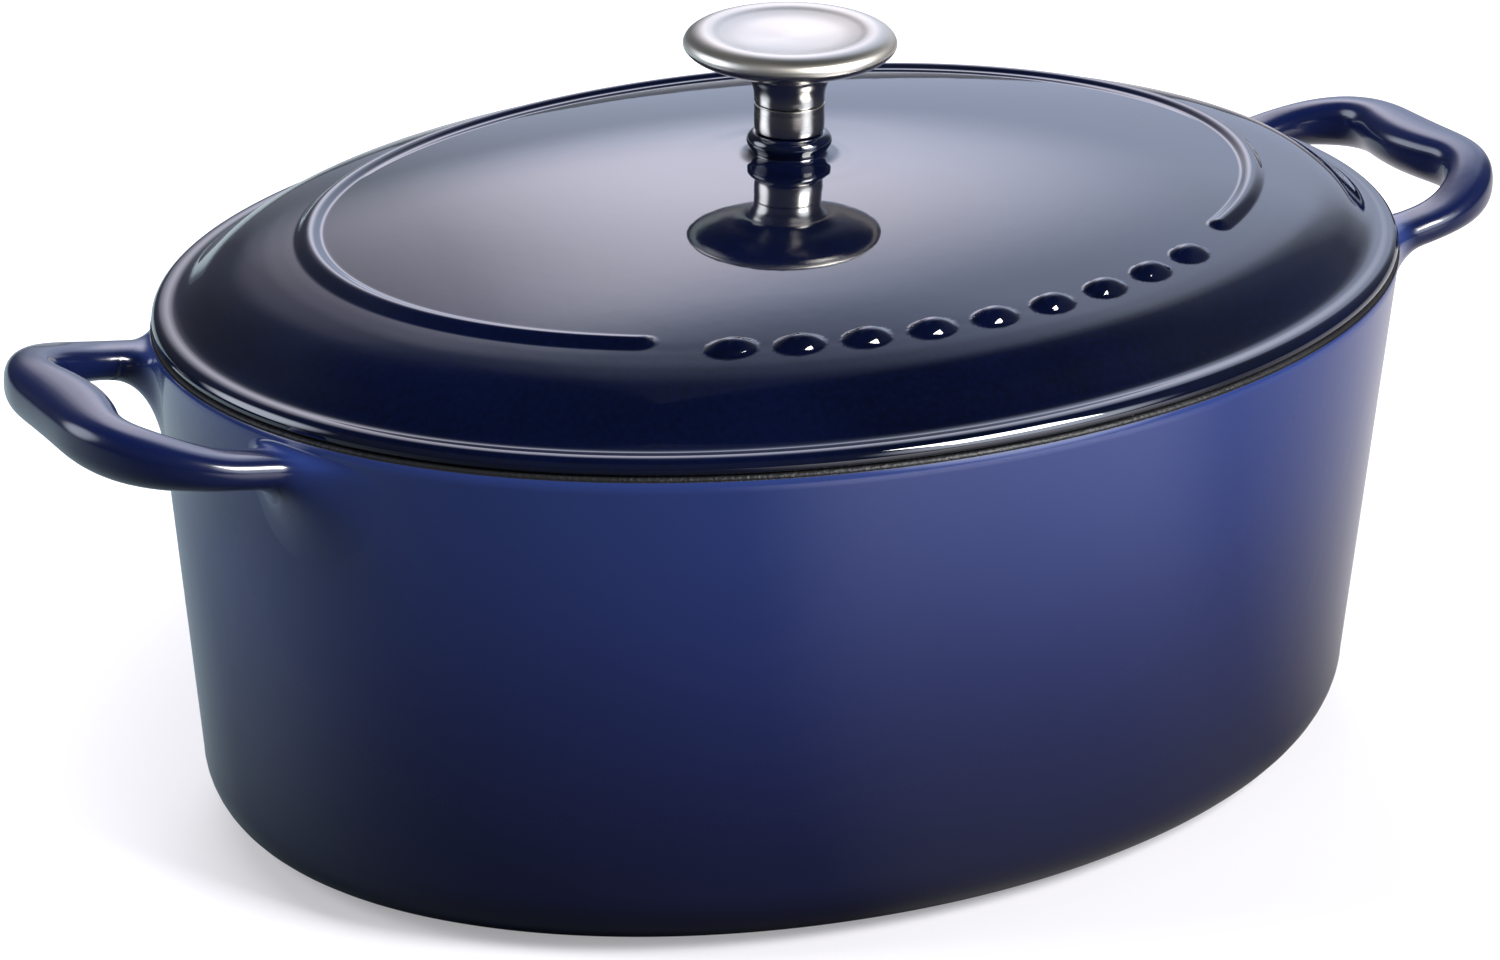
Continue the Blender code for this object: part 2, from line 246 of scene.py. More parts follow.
floorSet = {
    "radius": 6.0,
    "sides": 96,
    "height": -0.0002,  # just under the foot
    "seen": 0.62,  # paper as the camera sees it, which also glows a little so that shadows stay pale
    "seenGlow": (0.17, 0.31, 0.32, 0.80),  # distances from the glow's middle, and the glow at them
    "seenTint": (0.99, 0.975, 1.0),
    "shadowSide": 0.045,  # how far to the right of the pot the glow's middle lies
    "bounce": 0.22,  # and as it lights the pot from below
    "leftTint": (0.76, 0.94, 1.0),
    "rightTint": (1.0, 0.97, 1.0),
    "leftSpan": (-0.2, 0.6),
    "front": 0.03,  # and as the glaze mirrors it: painted shade in front, painted light behind
    "back": 0.40,
    "backTurn": 195.0,
    "backSpan": (-0.8, 0.6),
    "patchTurn": 45.0,  # a painted pool of light on the paper out to the right of the camera
    "patch": 0.60,
    "patchSpan": (0.78, 0.97),
    "nearShade": (0.16, 0.46, 0.15, 1.0),  # distances, and the patch's share at them: painted shade near the pot, where its shadow falls
    "roughness": 0.9,
    "specular": 0.1,
}


def floorDisc(s):
    turns = np.linspace(0, 2 * math.pi, s["sides"], endpoint=False)
    ring = [(s["radius"] * math.cos(a), s["radius"] * math.sin(a), s["height"]) for a in turns]
    mesh = bpy.data.meshes.new("floor")
    mesh.from_pydata(ring, [], [tuple(range(s["sides"]))])
    floor = bpy.data.objects.new("floor", mesh)
    bpy.context.scene.collection.objects.link(floor)
    return floor


def makeFloor(s):
    floor = floorDisc(s)
    material, tree, shader = startMaterial("paper_sweep")
    place = objectPlace(tree)
    heading = vectorNode(tree, "NORMALIZE", place)
    # What reflections see of the paper is painted light and shade: dark in front, lit behind, and a
    # painted pool of light to the right that fades into painted shade near the pot
    away = rangeNode(tree, vectorNode(tree, "LENGTH", place), *s["nearShade"])
    behind = rangeNode(tree, towards(tree, heading, turned(s["backTurn"])),
                       *s["backSpan"], s["front"], s["back"])
    patch = rangeNode(tree, towards(tree, heading, turned(s["patchTurn"])),
                      *s["patchSpan"], 0.0, s["patch"])
    mirrored = mathNode(tree, "ADD", behind, mathNode(tree, "MULTIPLY", patch, away))
    leftward = rangeNode(tree, towards(tree, heading, turned(-90)), *s["leftSpan"], 0.0, 1.0)
    sideTint = mixColour(tree, leftward, s["rightTint"], s["leftTint"])
    tinted = mixColour(tree, 1.0, sideTint, mirrored, "MULTIPLY")
    path = addNode(tree, "ShaderNodeLightPath")
    unseen = mixColour(tree, path.outputs["Is Diffuse Ray"], tinted, (s["bounce"],) * 3)
    seen = tuple(s["seen"] * part for part in s["seenTint"])
    paper = mixColour(tree, path.outputs["Is Camera Ray"], unseen, seen)
    tree.links.new(paper, shader.inputs["Base Color"])
    glowMiddle = turned(90) * s["shadowSide"]
    glow = rangeNode(tree, vectorNode(tree, "DISTANCE", place, glowMiddle), *s["seenGlow"])
    glowSeen = mathNode(tree, "MULTIPLY", path.outputs["Is Camera Ray"], glow)
    tree.links.new(glowSeen, shader.inputs["Emission Strength"])
    shader.inputs["Emission Color"].default_value = (*s["seenTint"], 1.0)
    shader.inputs["Roughness"].default_value = s["roughness"]
    shader.inputs["Specular IOR Level"].default_value = s["specular"]
    floor.data.materials.append(material)


def newGroup(name, inputs, outputs):
    group = bpy.data.node_groups.new(name, "ShaderNodeTree")
    for label, usual in inputs:
        socket = group.interface.new_socket(label, in_out="INPUT", socket_type="NodeSocketFloat")
        socket.default_value = usual
    for label in outputs:
        group.interface.new_socket(label, in_out="OUTPUT", socket_type="NodeSocketFloat")
    begin = group.nodes.new("NodeGroupInput")
    end = group.nodes.new("NodeGroupOutput")
    return group, begin, end


def noiseAt(tree, place, scale, detail):
    node = addNode(tree, "ShaderNodeTexNoise")
    node.inputs["Detail"].default_value = detail
    tree.links.new(place, node.inputs["Vector"])
    if isinstance(scale, (int, float)):
        node.inputs["Scale"].default_value = scale
    else:
        tree.links.new(scale, node.inputs["Scale"])
    return node.outputs["Fac"]


# The faint orange peel that fired glass keeps, and the slow sag under it
def glazeRippleGroup():
    inputs = (("Peel Scale", 260.0), ("Peel Depth", 0.5), ("Sag Scale", 28.0), ("Sag Depth", 1.0))
    group, begin, end = newGroup("glazeRipple", inputs, ("Height",))
    place = objectPlace(group)
    peel = noiseAt(group, place, begin.outputs["Peel Scale"], 1.5)
    sag = noiseAt(group, place, begin.outputs["Sag Scale"], 1.0)
    height = mathNode(group, "ADD", mathNode(group, "MULTIPLY", peel, begin.outputs["Peel Depth"]),
                      mathNode(group, "MULTIPLY", sag, begin.outputs["Sag Depth"]))
    group.links.new(height, end.inputs["Height"])
    return group


# Slow and fine unevenness of a finish, as a mask about one half and as a roughness
def driftGroup():
    slowShare, fineShare = 0.65, 0.35
    inputs = (("Slow Scale", 18.0), ("Fine Scale", 400.0), ("Low", 0.08), ("High", 0.16))
    group, begin, end = newGroup("finishDrift", inputs, ("Mask", "Roughness"))
    place = objectPlace(group)
    slow = noiseAt(group, place, begin.outputs["Slow Scale"], 3.0)
    fine = noiseAt(group, place, begin.outputs["Fine Scale"], 2.0)
    mask = mathNode(group, "ADD", mathNode(group, "MULTIPLY", slow, slowShare),
                    mathNode(group, "MULTIPLY", fine, fineShare))
    span = mathNode(group, "SUBTRACT", begin.outputs["High"], begin.outputs["Low"])
    rough = mathNode(group, "ADD", begin.outputs["Low"], mathNode(group, "MULTIPLY", mask, span))
    group.links.new(mask, end.inputs["Mask"])
    group.links.new(rough, end.inputs["Roughness"])
    return group


# Fine turning lines that run round the knob's axis, on faces and on walls alike
def latheGroup():
    climbShare = 1.7  # how fast the lines follow height, against radius
    group, begin, end = newGroup("latheLines", (("Lines per Metre", 2600.0),), ("Streak",))
    x, y, z = axisParts(group, objectPlace(group))
    radius = mathNode(group, "SQRT", mathNode(group, "ADD", mathNode(group, "MULTIPLY", x, x),
                                              mathNode(group, "MULTIPLY", y, y)))
    across = mathNode(group, "ADD", radius, mathNode(group, "MULTIPLY", z, climbShare))
    line = addNode(group, "ShaderNodeTexNoise", noise_dimensions="1D")
    line.inputs["Scale"].default_value = 1.0
    line.inputs["Detail"].default_value = 3.0
    counted = mathNode(group, "MULTIPLY", across, begin.outputs["Lines per Metre"])
    group.links.new(counted, line.inputs["W"])
    group.links.new(line.outputs["Fac"], end.inputs["Streak"])
    return group


ripple, drift, lathe = glazeRippleGroup(), driftGroup(), latheGroup()


# The numbers go to the group's inputs in their own order
def placeGroup(tree, group, numbers):
    node = addNode(tree, "ShaderNodeGroup", node_tree=group)
    for socket, number in zip(node.inputs, numbers):
        socket.default_value = number
    return node


def bumpFrom(tree, height, strength, distance):
    node = addNode(tree, "ShaderNodeBump")
    node.inputs["Strength"].default_value = strength
    node.inputs["Distance"].default_value = distance
    tree.links.new(height, node.inputs["Height"])
    return node.outputs["Normal"]


def startMaterial(name):
    material = bpy.data.materials.new(name)
    tree = newTree(material)
    shader = addNode(tree, "ShaderNodeBsdfPrincipled")
    output = addNode(tree, "ShaderNodeOutputMaterial")
    tree.links.new(shader.outputs[0], output.inputs[0])
    return material, tree, shader


# What every fired coat shares: uneven roughness and a rippled skin. Each coat's dictionary has
# drift (slow scale, fine scale, least and most roughness), ripple (peel scale and depth,
# sag scale and depth) and bump (strength, distance)
def firedCoat(tree, shader, s):
    uneven = placeGroup(tree, drift, s["drift"])
    wave = placeGroup(tree, ripple, s["ripple"])
    tree.links.new(uneven.outputs["Roughness"], shader.inputs["Roughness"])
    tree.links.new(bumpFrom(tree, wave.outputs["Height"], *s["bump"]), shader.inputs["Normal"])
    return uneven.outputs["Mask"]


def clearCoat(shader, s):
    shader.inputs["Coat Weight"].default_value = s["coat"]
    shader.inputs["Coat Roughness"].default_value = s["coatRoughness"]


potGlaze = {
    "stops": (
        (0.00, (0.0060, 0.0076, 0.0265)),
        (0.25, (0.0080, 0.0105, 0.0460)),
        (0.55, (0.0135, 0.0220, 0.1050)),
        (0.80, (0.0210, 0.0380, 0.1650)),
        (1.00, (0.0240, 0.0450, 0.1850)),
    ),
    "handle": (0.0045, 0.0090, 0.0480),  # a darker colour on the handles
    "handleFrom": 1.004,  # as a share of the rim's own oval
    "handleTo": 1.050,
    "spray": 0.14,  # how ragged the sprayed fade is
    "drift": (14.0, 900.0, 0.16, 0.30),
    "ripple": (240.0, 0.35, 22.0, 1.6),
    "bump": (0.22, 0.0006),
    "coat": 0.8,
    "coatRoughness": 0.06,
}


# Cobalt glaze that is sprayed darker towards the foot
def potEnamelMaterial(s):
    material, tree, shader = startMaterial("pot_enamel_outside")
    mask = firedCoat(tree, shader, s)
    clearCoat(shader, s)
    place = objectPlace(tree)
    climb = mathNode(tree, "DIVIDE", axisParts(tree, place)["Z"], rimTop)
    wander = mathNode(tree, "MULTIPLY", mathNode(tree, "SUBTRACT", mask, 0.5), s["spray"])
    fade = colourRamp(tree, mathNode(tree, "ADD", climb, wander), s["stops"])
    toRim = (1 / vessel["halfLength"], 1 / vessel["halfWidth"], 0.0)
    reach = vectorNode(tree, "LENGTH", vectorNode(tree, "MULTIPLY", place, toRim))
    # The handles, out past the rim's oval, take the darker colour
    onHandles = rangeNode(tree, reach, s["handleFrom"], s["handleTo"], 0.0, 1.0)
    tree.links.new(mixColour(tree, onHandles, fade, s["handle"]), shader.inputs["Base Color"])
    return material


lidGlaze = {
    "deep": (0.0014, 0.0024, 0.0100),
    "thin": (0.0021, 0.0044, 0.0230),
    "thinFrom": 0.3,
    "thinTo": 0.7,
    "drift": (16.0, 700.0, 0.02, 0.07),
    "ripple": (200.0, 0.30, 20.0, 1.2),
    "bump": (0.16, 0.0006),
    "coat": 1.0,
    "coatRoughness": 0.012,
    "coatIndex": 1.7,
    "under": 0.5,  # how much the body under the clear coat shines
}


# Deep navy glaze that drifts between thicker and thinner
def lidEnamelMaterial(s):
    material, tree, shader = startMaterial("lid_enamel_outside")
    thin = rangeNode(tree, firedCoat(tree, shader, s), s["thinFrom"], s["thinTo"], 0.0, 1.0)
    tree.links.new(mixColour(tree, thin, s["deep"], s["thin"]), shader.inputs["Base Color"])
    clearCoat(shader, s)
    shader.inputs["Coat IOR"].default_value = s["coatIndex"]
    shader.inputs["Specular IOR Level"].default_value = s["under"]
    return material


rimCoat = {
    "dark": (0.004, 0.004, 0.005),
    "light": (0.016, 0.016, 0.018),
    "drift": (60.0, 1500.0, 0.38, 0.62),
    "ripple": (900.0, 1.0, 120.0, 0.6),
    "bump": (0.5, 0.0005),
}


# The bare matt ground coat on the rim
def rimBlackMaterial(s):
    material, tree, shader = startMaterial("rim_ground_coat")
    mask = firedCoat(tree, shader, s)
    tree.links.new(mixColour(tree, mask, s["dark"], s["light"]), shader.inputs["Base Color"])
    return material


insideGlaze = {
    "dark": (0.66, 0.60, 0.47),
    "light": (0.76, 0.71, 0.59),
    "speck": (0.36, 0.29, 0.20),
    "speckScale": 1300.0,
    "speckSpan": (0.70, 0.78, 0.0, 0.5),
    "drift": (24.0, 1100.0, 0.14, 0.26),
    "ripple": (260.0, 0.35, 24.0, 1.2),
    "bump": (0.25, 0.0006),
    "coat": 0.6,
    "coatRoughness": 0.06,
}


# Pale glaze inside, with the faint speckle of the iron under it
def creamEnamelMaterial(s):
    material, tree, shader = startMaterial("inside_enamel")
    ground = mixColour(tree, firedCoat(tree, shader, s), s["dark"], s["light"])
    speck = rangeNode(tree, noiseAt(tree, objectPlace(tree), s["speckScale"], 1.0), *s["speckSpan"])
    tree.links.new(mixColour(tree, speck, ground, s["speck"]), shader.inputs["Base Color"])
    clearCoat(shader, s)
    return material


footGlaze = {
    "glazed": (0.006, 0.007, 0.014),
    "rubbed": (0.030, 0.031, 0.036),
    "rubbedSpan": (0.48, 0.66, 0.0, 0.7),
    "drift": (30.0, 800.0, 0.30, 0.55),
    "ripple": (320.0, 0.8, 40.0, 1.0),
    "bump": (0.4, 0.0005),
}


# The underside, where the dark glaze has been rubbed by hobs
def footMaterial(s):
    material, tree, shader = startMaterial("foot_enamel")
    rubbed = rangeNode(tree, firedCoat(tree, shader, s), *s["rubbedSpan"])
    tree.links.new(mixColour(tree, rubbed, s["glazed"], s["rubbed"]), shader.inputs["Base Color"])
    return material


metals = {
    "satin_steel": {
        "dark": (0.82, 0.78, 0.70),
        "light": (0.96, 0.92, 0.83),
        "drift": (70.0, 2200.0, 0.12, 0.20),
        "lines": 5200.0,
        "bump": (0.10, 0.0001),
        "brushed": 0.5,
        "satin": (0.1805, 0.1835, 0.0, 0.20),  # the dished top is duller: heights, added roughness
    },
    "zinc_plate": {
        "dark": (0.46, 0.47, 0.49),
        "light": (0.66, 0.67, 0.68),
        "drift": (70.0, 2200.0, 0.26, 0.46),
        "lines": 4200.0,
        "bump": (0.30, 0.0001),
    },
    "turned_brass": {
        "dark": (0.58, 0.40, 0.15),
        "light": (0.78, 0.58, 0.27),
        "drift": (70.0, 2200.0, 0.24, 0.42),
        "lines": 3600.0,
        "bump": (0.30, 0.0001),
    },
}


# Turned metal: streaks round the axis in colour and height
def metalMaterial(name):
    s = metals[name]
    material, tree, shader = startMaterial(name)
    streak = placeGroup(tree, lathe, (s["lines"],)).outputs["Streak"]
    rough = placeGroup(tree, drift, s["drift"]).outputs["Roughness"]
    if "satin" in s:
        height = axisParts(tree, objectPlace(tree))["Z"]
        rough = mathNode(tree, "ADD", rough, rangeNode(tree, height, *s["satin"]))
    tree.links.new(mixColour(tree, streak, s["dark"], s["light"]), shader.inputs["Base Color"])
    tree.links.new(rough, shader.inputs["Roughness"])
    tree.links.new(bumpFrom(tree, streak, *s["bump"]), shader.inputs["Normal"])
    shader.inputs["Metallic"].default_value = 1.0
    if "brushed" in s:
        shader.inputs["Anisotropic"].default_value = s["brushed"]
        around = addNode(tree, "ShaderNodeTangent", direction_type="RADIAL", axis="Z")
        tree.links.new(around.outputs[0], shader.inputs["Tangent"])
    return material


def ovalRing(semiX, semiY, height, angles):
    return np.column_stack((semiX * np.cos(angles), semiY * np.sin(angles), np.full(len(angles), height)))


# A smooth line through control points (centripetal Catmull-Rom), with as many steps in each span
def throughPoints(points, steps):
    least = 1e-9  # keeps two equal points apart
    points = np.array(points, float)
    ends = np.vstack((2 * points[0] - points[1], points, 2 * points[-1] - points[-2]))
    made = []
    for index in range(1, len(ends) - 2):
        p0, p1, p2, p3 = ends[index - 1:index + 3]
        t1 = math.sqrt(np.linalg.norm(p1 - p0)) + least
        t2 = t1 + math.sqrt(np.linalg.norm(p2 - p1)) + least
        t3 = t2 + math.sqrt(np.linalg.norm(p3 - p2)) + least
        for step in range(steps):
            t = t1 + (t2 - t1) * step / steps
            a1 = p0 + (p1 - p0) * t / t1
            a2 = p1 + (p2 - p1) * (t - t1) / (t2 - t1)
            a3 = p2 + (p3 - p2) * (t - t2) / (t3 - t2)
            b1 = a1 + (a2 - a1) * t / t2
            b2 = a2 + (a3 - a2) * (t - t1) / (t3 - t1)
            made.append(b1 + (b2 - b1) * (t - t1) / (t2 - t1))
    made.append(points[-1])
    return made


# Collects rings of points and the faces between them, for one mesh
class Skin:

    def __init__(self):
        self.points = []
        self.faces = []
        self.zones = []

    def ring(self, points):
        first = len(self.points)
        self.points.extend(map(tuple, points))
        return list(range(first, first + len(points)))

    def join(self, lower, upper, zone):
        count = len(lower)
        for step in range(count):
            after = (step + 1) % count
            self.faces.append((lower[step], lower[after], upper[after], upper[step]))
            self.zones.append(zone)

    # Close a ring with a fan about its middle
    def cap(self, ring, zone, flip):
        middle = np.mean([self.points[index] for index in ring], axis=0)
        hub = self.ring([middle])[0]
        for step in range(len(ring)):
            after = (step + 1) % len(ring)
            pair = (ring[after], ring[step]) if flip else (ring[step], ring[after])
            self.faces.append((*pair, hub))
            self.zones.append(zone)

    def build(self, name, materials):
        mesh = bpy.data.meshes.new(name)
        mesh.from_pydata(self.points, [], self.faces)
        mesh.polygons.foreach_set("material_index", self.zones)
        mesh.shade_smooth()
        mesh.update()
        piece = bpy.data.objects.new(name, mesh)
        bpy.context.scene.collection.objects.link(piece)
        for material in materials:
            mesh.materials.append(material)
        return piece


vessel = {
    "halfLength": 0.1600,
    "halfWidth": 0.1239,
    "draftEnds": 0.0086,
    "draftSides": 0.0112,
    "footRadius": 0.0183,
    "footHollow": 0.0006,  # the middle of the foot stands clear of the table
    "wall": 0.0042,
    "floor": 0.0050,
    "insideRadius": 0.0135,
    "rimRound": 0.0011,
    "glazeStop": 0.0010,  # bare rim below the top edge
    "glazeStep": (0.0002, 0.0003),  # up and in, where the glaze stops
    "bareInside": (0.0025, 0.0040),  # and down inside
    "glazedInside": 0.0042,
    "columns": 288,
}


# Half sizes of the outer wall at a height
def wallSemi(z, inward=0.0):
    v = vessel
    fall = (rimTop - z) / (rimTop - v["footRadius"])
    return (v["halfLength"] - v["draftEnds"] * fall - inward,
            v["halfWidth"] - v["draftSides"] * fall - inward)


# Angles of a quarter turn in so many steps
def quarter(steps):
    return [math.pi / 2 * step / steps for step in range(steps + 1)]


# (semiX, semiY, height, zone) from the middle of the foot, up outside, over the rim and down inside
def potProfile():
    v = vessel
    outside, rim, inside, foot = range(4)
    rows = []
    footX, footY = wallSemi(v["footRadius"], v["footRadius"])
    flat = [(share, v["footHollow"]) for share in (0.10, 0.30, 0.50, 0.70, 0.85, 0.94)]
    for share, height in flat + [(0.965, v["footHollow"] * 2 / 3), (0.985, 0.0)]:
        rows.append((footX * share, footY * share, height, foot))
    for step, turn in enumerate(quarter(14)):
        tuck = v["footRadius"] * (1 - math.sin(turn))
        height = v["footRadius"] * (1 - math.cos(turn))
        rows.append((*wallSemi(v["footRadius"], tuck), height, outside if step > 2 else foot))
    stop = rimTop - v["glazeStop"]
    for share in np.linspace(0.03, 1.0, 36):
        height = v["footRadius"] + (stop - v["footRadius"]) * share
        rows.append((*wallSemi(height), height, outside))
    up, into = v["glazeStep"]
    rows.append((*wallSemi(stop + up, into), stop + up, rim))
    for turn in quarter(6):
        tuck = v["rimRound"] * (1 - math.cos(turn))
        height = rimTop - v["rimRound"] * (1 - math.sin(turn))
        rows.append((*wallSemi(height, tuck + into), height, rim))
    for turn in reversed(quarter(6)):
        tuck = v["wall"] - v["rimRound"] * (1 - math.cos(turn))
        height = rimTop - v["rimRound"] * (1 - math.sin(turn))
        rows.append((*wallSemi(height, tuck), height, rim))
    for drop in v["bareInside"]:
        rows.append((*wallSemi(rimTop - drop, v["wall"]), rimTop - drop, rim))
    low = v["floor"] + v["insideRadius"]
    for share in np.linspace(0.98, 0.0, 22):
        height = low + (rimTop - v["glazedInside"] - low) * share
        rows.append((*wallSemi(height, v["wall"]), height, inside))
    cornerX, cornerY = wallSemi(low, v["wall"])
    for turn in reversed(quarter(10)[:-1]):
        tuck = v["insideRadius"] * (1 - math.sin(turn))
        rows.append((cornerX - tuck, cornerY - tuck, low - v["insideRadius"] * math.cos(turn), inside))
    floorX, floorY = cornerX - v["insideRadius"], cornerY - v["insideRadius"]
    for share in (0.92, 0.80, 0.60, 0.40, 0.20, 0.08):
        rows.append((floorX * share, floorY * share, v["floor"], inside))
    return rows


def skinVessel(skin):
    angles = np.linspace(0, 2 * math.pi, vessel["columns"], endpoint=False)
    before = None
    rows = potProfile()
    for semiX, semiY, height, zone in rows:
        ring = skin.ring(ovalRing(semiX, semiY, height, angles))
        if before is None:
            skin.cap(ring, zone, True)
        else:
            skin.join(before, ring, zone)
        before = ring
    skin.cap(before, rows[-1][3], False)


handle = {
    "reach": 0.1975,
    "halfSpan": 0.0445,
    "cornerRadius": 0.0325,
    "gripWidth": 0.0172,
    "gripHeight": 0.0134,
    "legWidth": 0.0122,
    "legHeight": 0.0086,
    "rootX": 0.1340,
    "rootHeight": 0.1150,
    "tipHeight": 0.1250,
    "squareTop": 2.9,  # flat on top, rounder below
    "squareBelow": 2.0,
    "sides": 48,
    "legStart": 0.1655,  # the swept loop hands over to the root here
    "flareOuter": 0.0200,
    "flareInner": 0.0100,
    "flareBelow": 0.0230,
    "flareAbove": 0.0016,
    "legFlareSide": 0.0095,
    "legFlareBelow": 0.0125,
    "legFlareAbove": 0.0035,
    "sink": 0.00012,
    "rootSteps": 16,
    "buried": 0.0022,  # the root ends this deep in the wall
    "buriedShare": 0.8,
    "smoothings": 5,
}


def handleHeight(x):
    h = handle
    along = (x - h["rootX"]) / (h["reach"] - h["rootX"])
    return h["rootHeight"] + (h["tipHeight"] - h["rootHeight"]) * along


# Width and height of the bar at a point on the loop
def handleSizes(x, y):
    h = handle
    middle = min(1.0, max(0.0, 1 - abs(y) / (h["halfSpan"] - h["legWidth"])))
    ease = middle * middle * (3 - 2 * middle)
    wide = h["legWidth"] + (h["gripWidth"] - h["legWidth"]) * ease
    out = min(1.0, max(0.0, (x - (h["reach"] - h["cornerRadius"])) / h["cornerRadius"]))
    return wide, h["legHeight"] + (h["gripHeight"] - h["legHeight"]) * out * out * (3 - 2 * out)


# Unit outline of the bar: across, up
def sectionShape():
    h = handle
    turns = 2 * np.pi * (np.arange(h["sides"]) + 0.5) / h["sides"]
    power = np.where(np.sin(turns) > 0, 2 / h["squareTop"], 2 / h["squareBelow"])
    across = np.sign(np.cos(turns)) * np.abs(np.cos(turns)) ** power
    up = np.sign(np.sin(turns)) * np.abs(np.sin(turns)) ** power
    return turns, across, up


# The loop's outer edge from one leg to the other, evenly smoothed
def loopPath():
    h = handle
    cornerX, cornerY = h["reach"] - h["cornerRadius"], h["halfSpan"] - h["cornerRadius"]
    half = [(h["legStart"] - 0.004 + 0.001 * step, h["halfSpan"]) for step in range(4)]
    for turn in np.linspace(math.pi / 2, 0, 30):
        half.append((cornerX + h["cornerRadius"] * math.cos(turn),
                     cornerY + h["cornerRadius"] * math.sin(turn)))
    for y in np.linspace(cornerY, 0, 10)[1:]:
        half.append((h["reach"], y))
    path = np.array(half + [(x, -y) for x, y in reversed(half[:-1])])
    for _ in range(h["smoothings"]):
        path[1:-1] = (path[:-2] + 2 * path[1:-1] + path[2:]) / 4
    path[:, 0] += h["reach"] - path[:, 0].max()
    return path


# A point off the outer wall: along its normal by out
def wallPlace(theta, z, out):
    semiX, semiY = wallSemi(z)
    normal = np.stack((np.cos(theta) / semiX, np.sin(theta) / semiY), axis=-1)
    normal /= np.linalg.norm(normal, axis=-1, keepdims=True)
    return np.stack((semiX * np.cos(theta) + normal[..., 0] * out,
                     semiY * np.sin(theta) + normal[..., 1] * out, z), axis=-1)


# The inverse of wallPlace, by a few Newton steps
def wallCoordinates(point):
    x, y, z = point
    semiX, semiY = wallSemi(z)
    theta = math.atan2(y / semiY, x / semiX)
    for _ in range(12):
        c, s = math.cos(theta), math.sin(theta)
        offX, offY = x - semiX * c, y - semiY * s
        along = offY * semiY * c - offX * semiX * s
        slope = -(semiX * s) ** 2 - (semiY * c) ** 2 - offX * semiX * c - offY * semiY * s
        theta -= along / slope
    c, s = math.cos(theta), math.sin(theta)
    normal = np.array((c / semiX, s / semiY))
    normal /= np.linalg.norm(normal)
    return theta, z, float(np.dot(normal, (x - semiX * c, y - semiY * s)))


# Rings from the leg down onto the wall, for one leg of the +X handle
def rootRings(sideY):
    h = handle
    turns, across, up = sectionShape()
    steps = h["rootSteps"]
    rings = np.zeros((steps + 2, h["sides"], 3))
    wide, tall = handleSizes(h["legStart"], h["halfSpan"])
    centreY = h["halfSpan"] - wide / 2
    for index in range(h["sides"]):
        offY, offZ = across[index] * wide / 2, up[index] * tall / 2
        low, high = vessel["halfWidth"], h["legStart"]
        for _ in range(40):  # where this line of the leg meets the wall
            x = (low + high) / 2
            point = (x, centreY + offY, handleHeight(x) + offZ)
            if wallCoordinates(point)[2] > 0:
                high = x
            else:
                low = x
        sideShare, upShare = math.cos(turns[index]), math.sin(turns[index])
        vertical = h["flareAbove"] if upShare > 0 else h["flareBelow"]
        legVertical = h["legFlareAbove"] if upShare > 0 else h["legFlareBelow"]
        legFlare = math.hypot(h["legFlareSide"] * sideShare, legVertical * upShare)
        startX = x + legFlare
        start = wallCoordinates((startX, centreY + offY, handleHeight(startX) + offZ))
        meet = wallCoordinates((x, centreY + offY, handleHeight(x) + offZ))
        semiX, semiY = wallSemi(meet[1])
        speed = math.hypot(semiX * math.sin(meet[0]), semiY * math.cos(meet[0]))
        side = h["flareOuter"] if sideShare > 0 else h["flareInner"]
        finish = (meet[0] + side * sideShare / speed, meet[1] + vertical * upShare, -h["sink"])
        a, b, c = np.array(start), np.array((meet[0], meet[1], 0.0)), np.array(finish)
        for step in range(steps + 1):
            t = step / steps
            place = a * (1 - t) ** 2 + b * 2 * t * (1 - t) + c * t * t
            rings[step, index] = wallPlace(*place)
        inner = b + (c - b) * h["buriedShare"]
        inner[2] = -h["buried"]
        rings[steps + 1, index] = wallPlace(*inner)
    rings[:, :, 1] *= sideY
    return rings


def loopRings():
    h = handle
    turns, across, up = sectionShape()
    path = loopPath()
    inside = np.array((h["legStart"], 0.0))  # a place within the loop
    rings = []
    for index in range(1, len(path) - 1):
        along = path[index + 1] - path[index - 1]
        along /= np.linalg.norm(along)
        outward = np.array((-along[1], along[0]))
        if np.dot(outward, path[index] - inside) < 0:
            outward = -outward
        x, y = path[index]
        wide, tall = handleSizes(x, y)
        ring = np.zeros((h["sides"], 3))
        ring[:, :2] = path[index] + np.outer(across * wide / 2 - wide / 2, outward)
        ring[:, 2] = handleHeight(x) + up * tall / 2
        rings.append(ring)
    return rings


def skinHandles(skin, zone):
    first = rootRings(1.0)[::-1]
    last = rootRings(-1.0)
    rings = [*first, *loopRings(), *last]
    for side in (1, -1):
        before = None
        for ring in rings:
            made = skin.ring(ring * np.array((side, 1, 1)))
            if side < 0:
                made = made[::-1]
            if before is None:
                skin.cap(made, zone, True)
            else:
                skin.join(before, made, zone)
            before = made
        skin.cap(before, zone, False)


rimBlack, insideCream = rimBlackMaterial(rimCoat), creamEnamelMaterial(insideGlaze)


def makePot():
    skin = Skin()
    skinVessel(skin)
    skinHandles(skin, 0)
    enamel, foot = potEnamelMaterial(potGlaze), footMaterial(footGlaze)
    pot = skin.build("pot_casting", (enamel, rimBlack, insideCream, foot))
    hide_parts("pot_body")
    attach(pot, "pot")
    print("pot", len(pot.data.polygons), "faces")


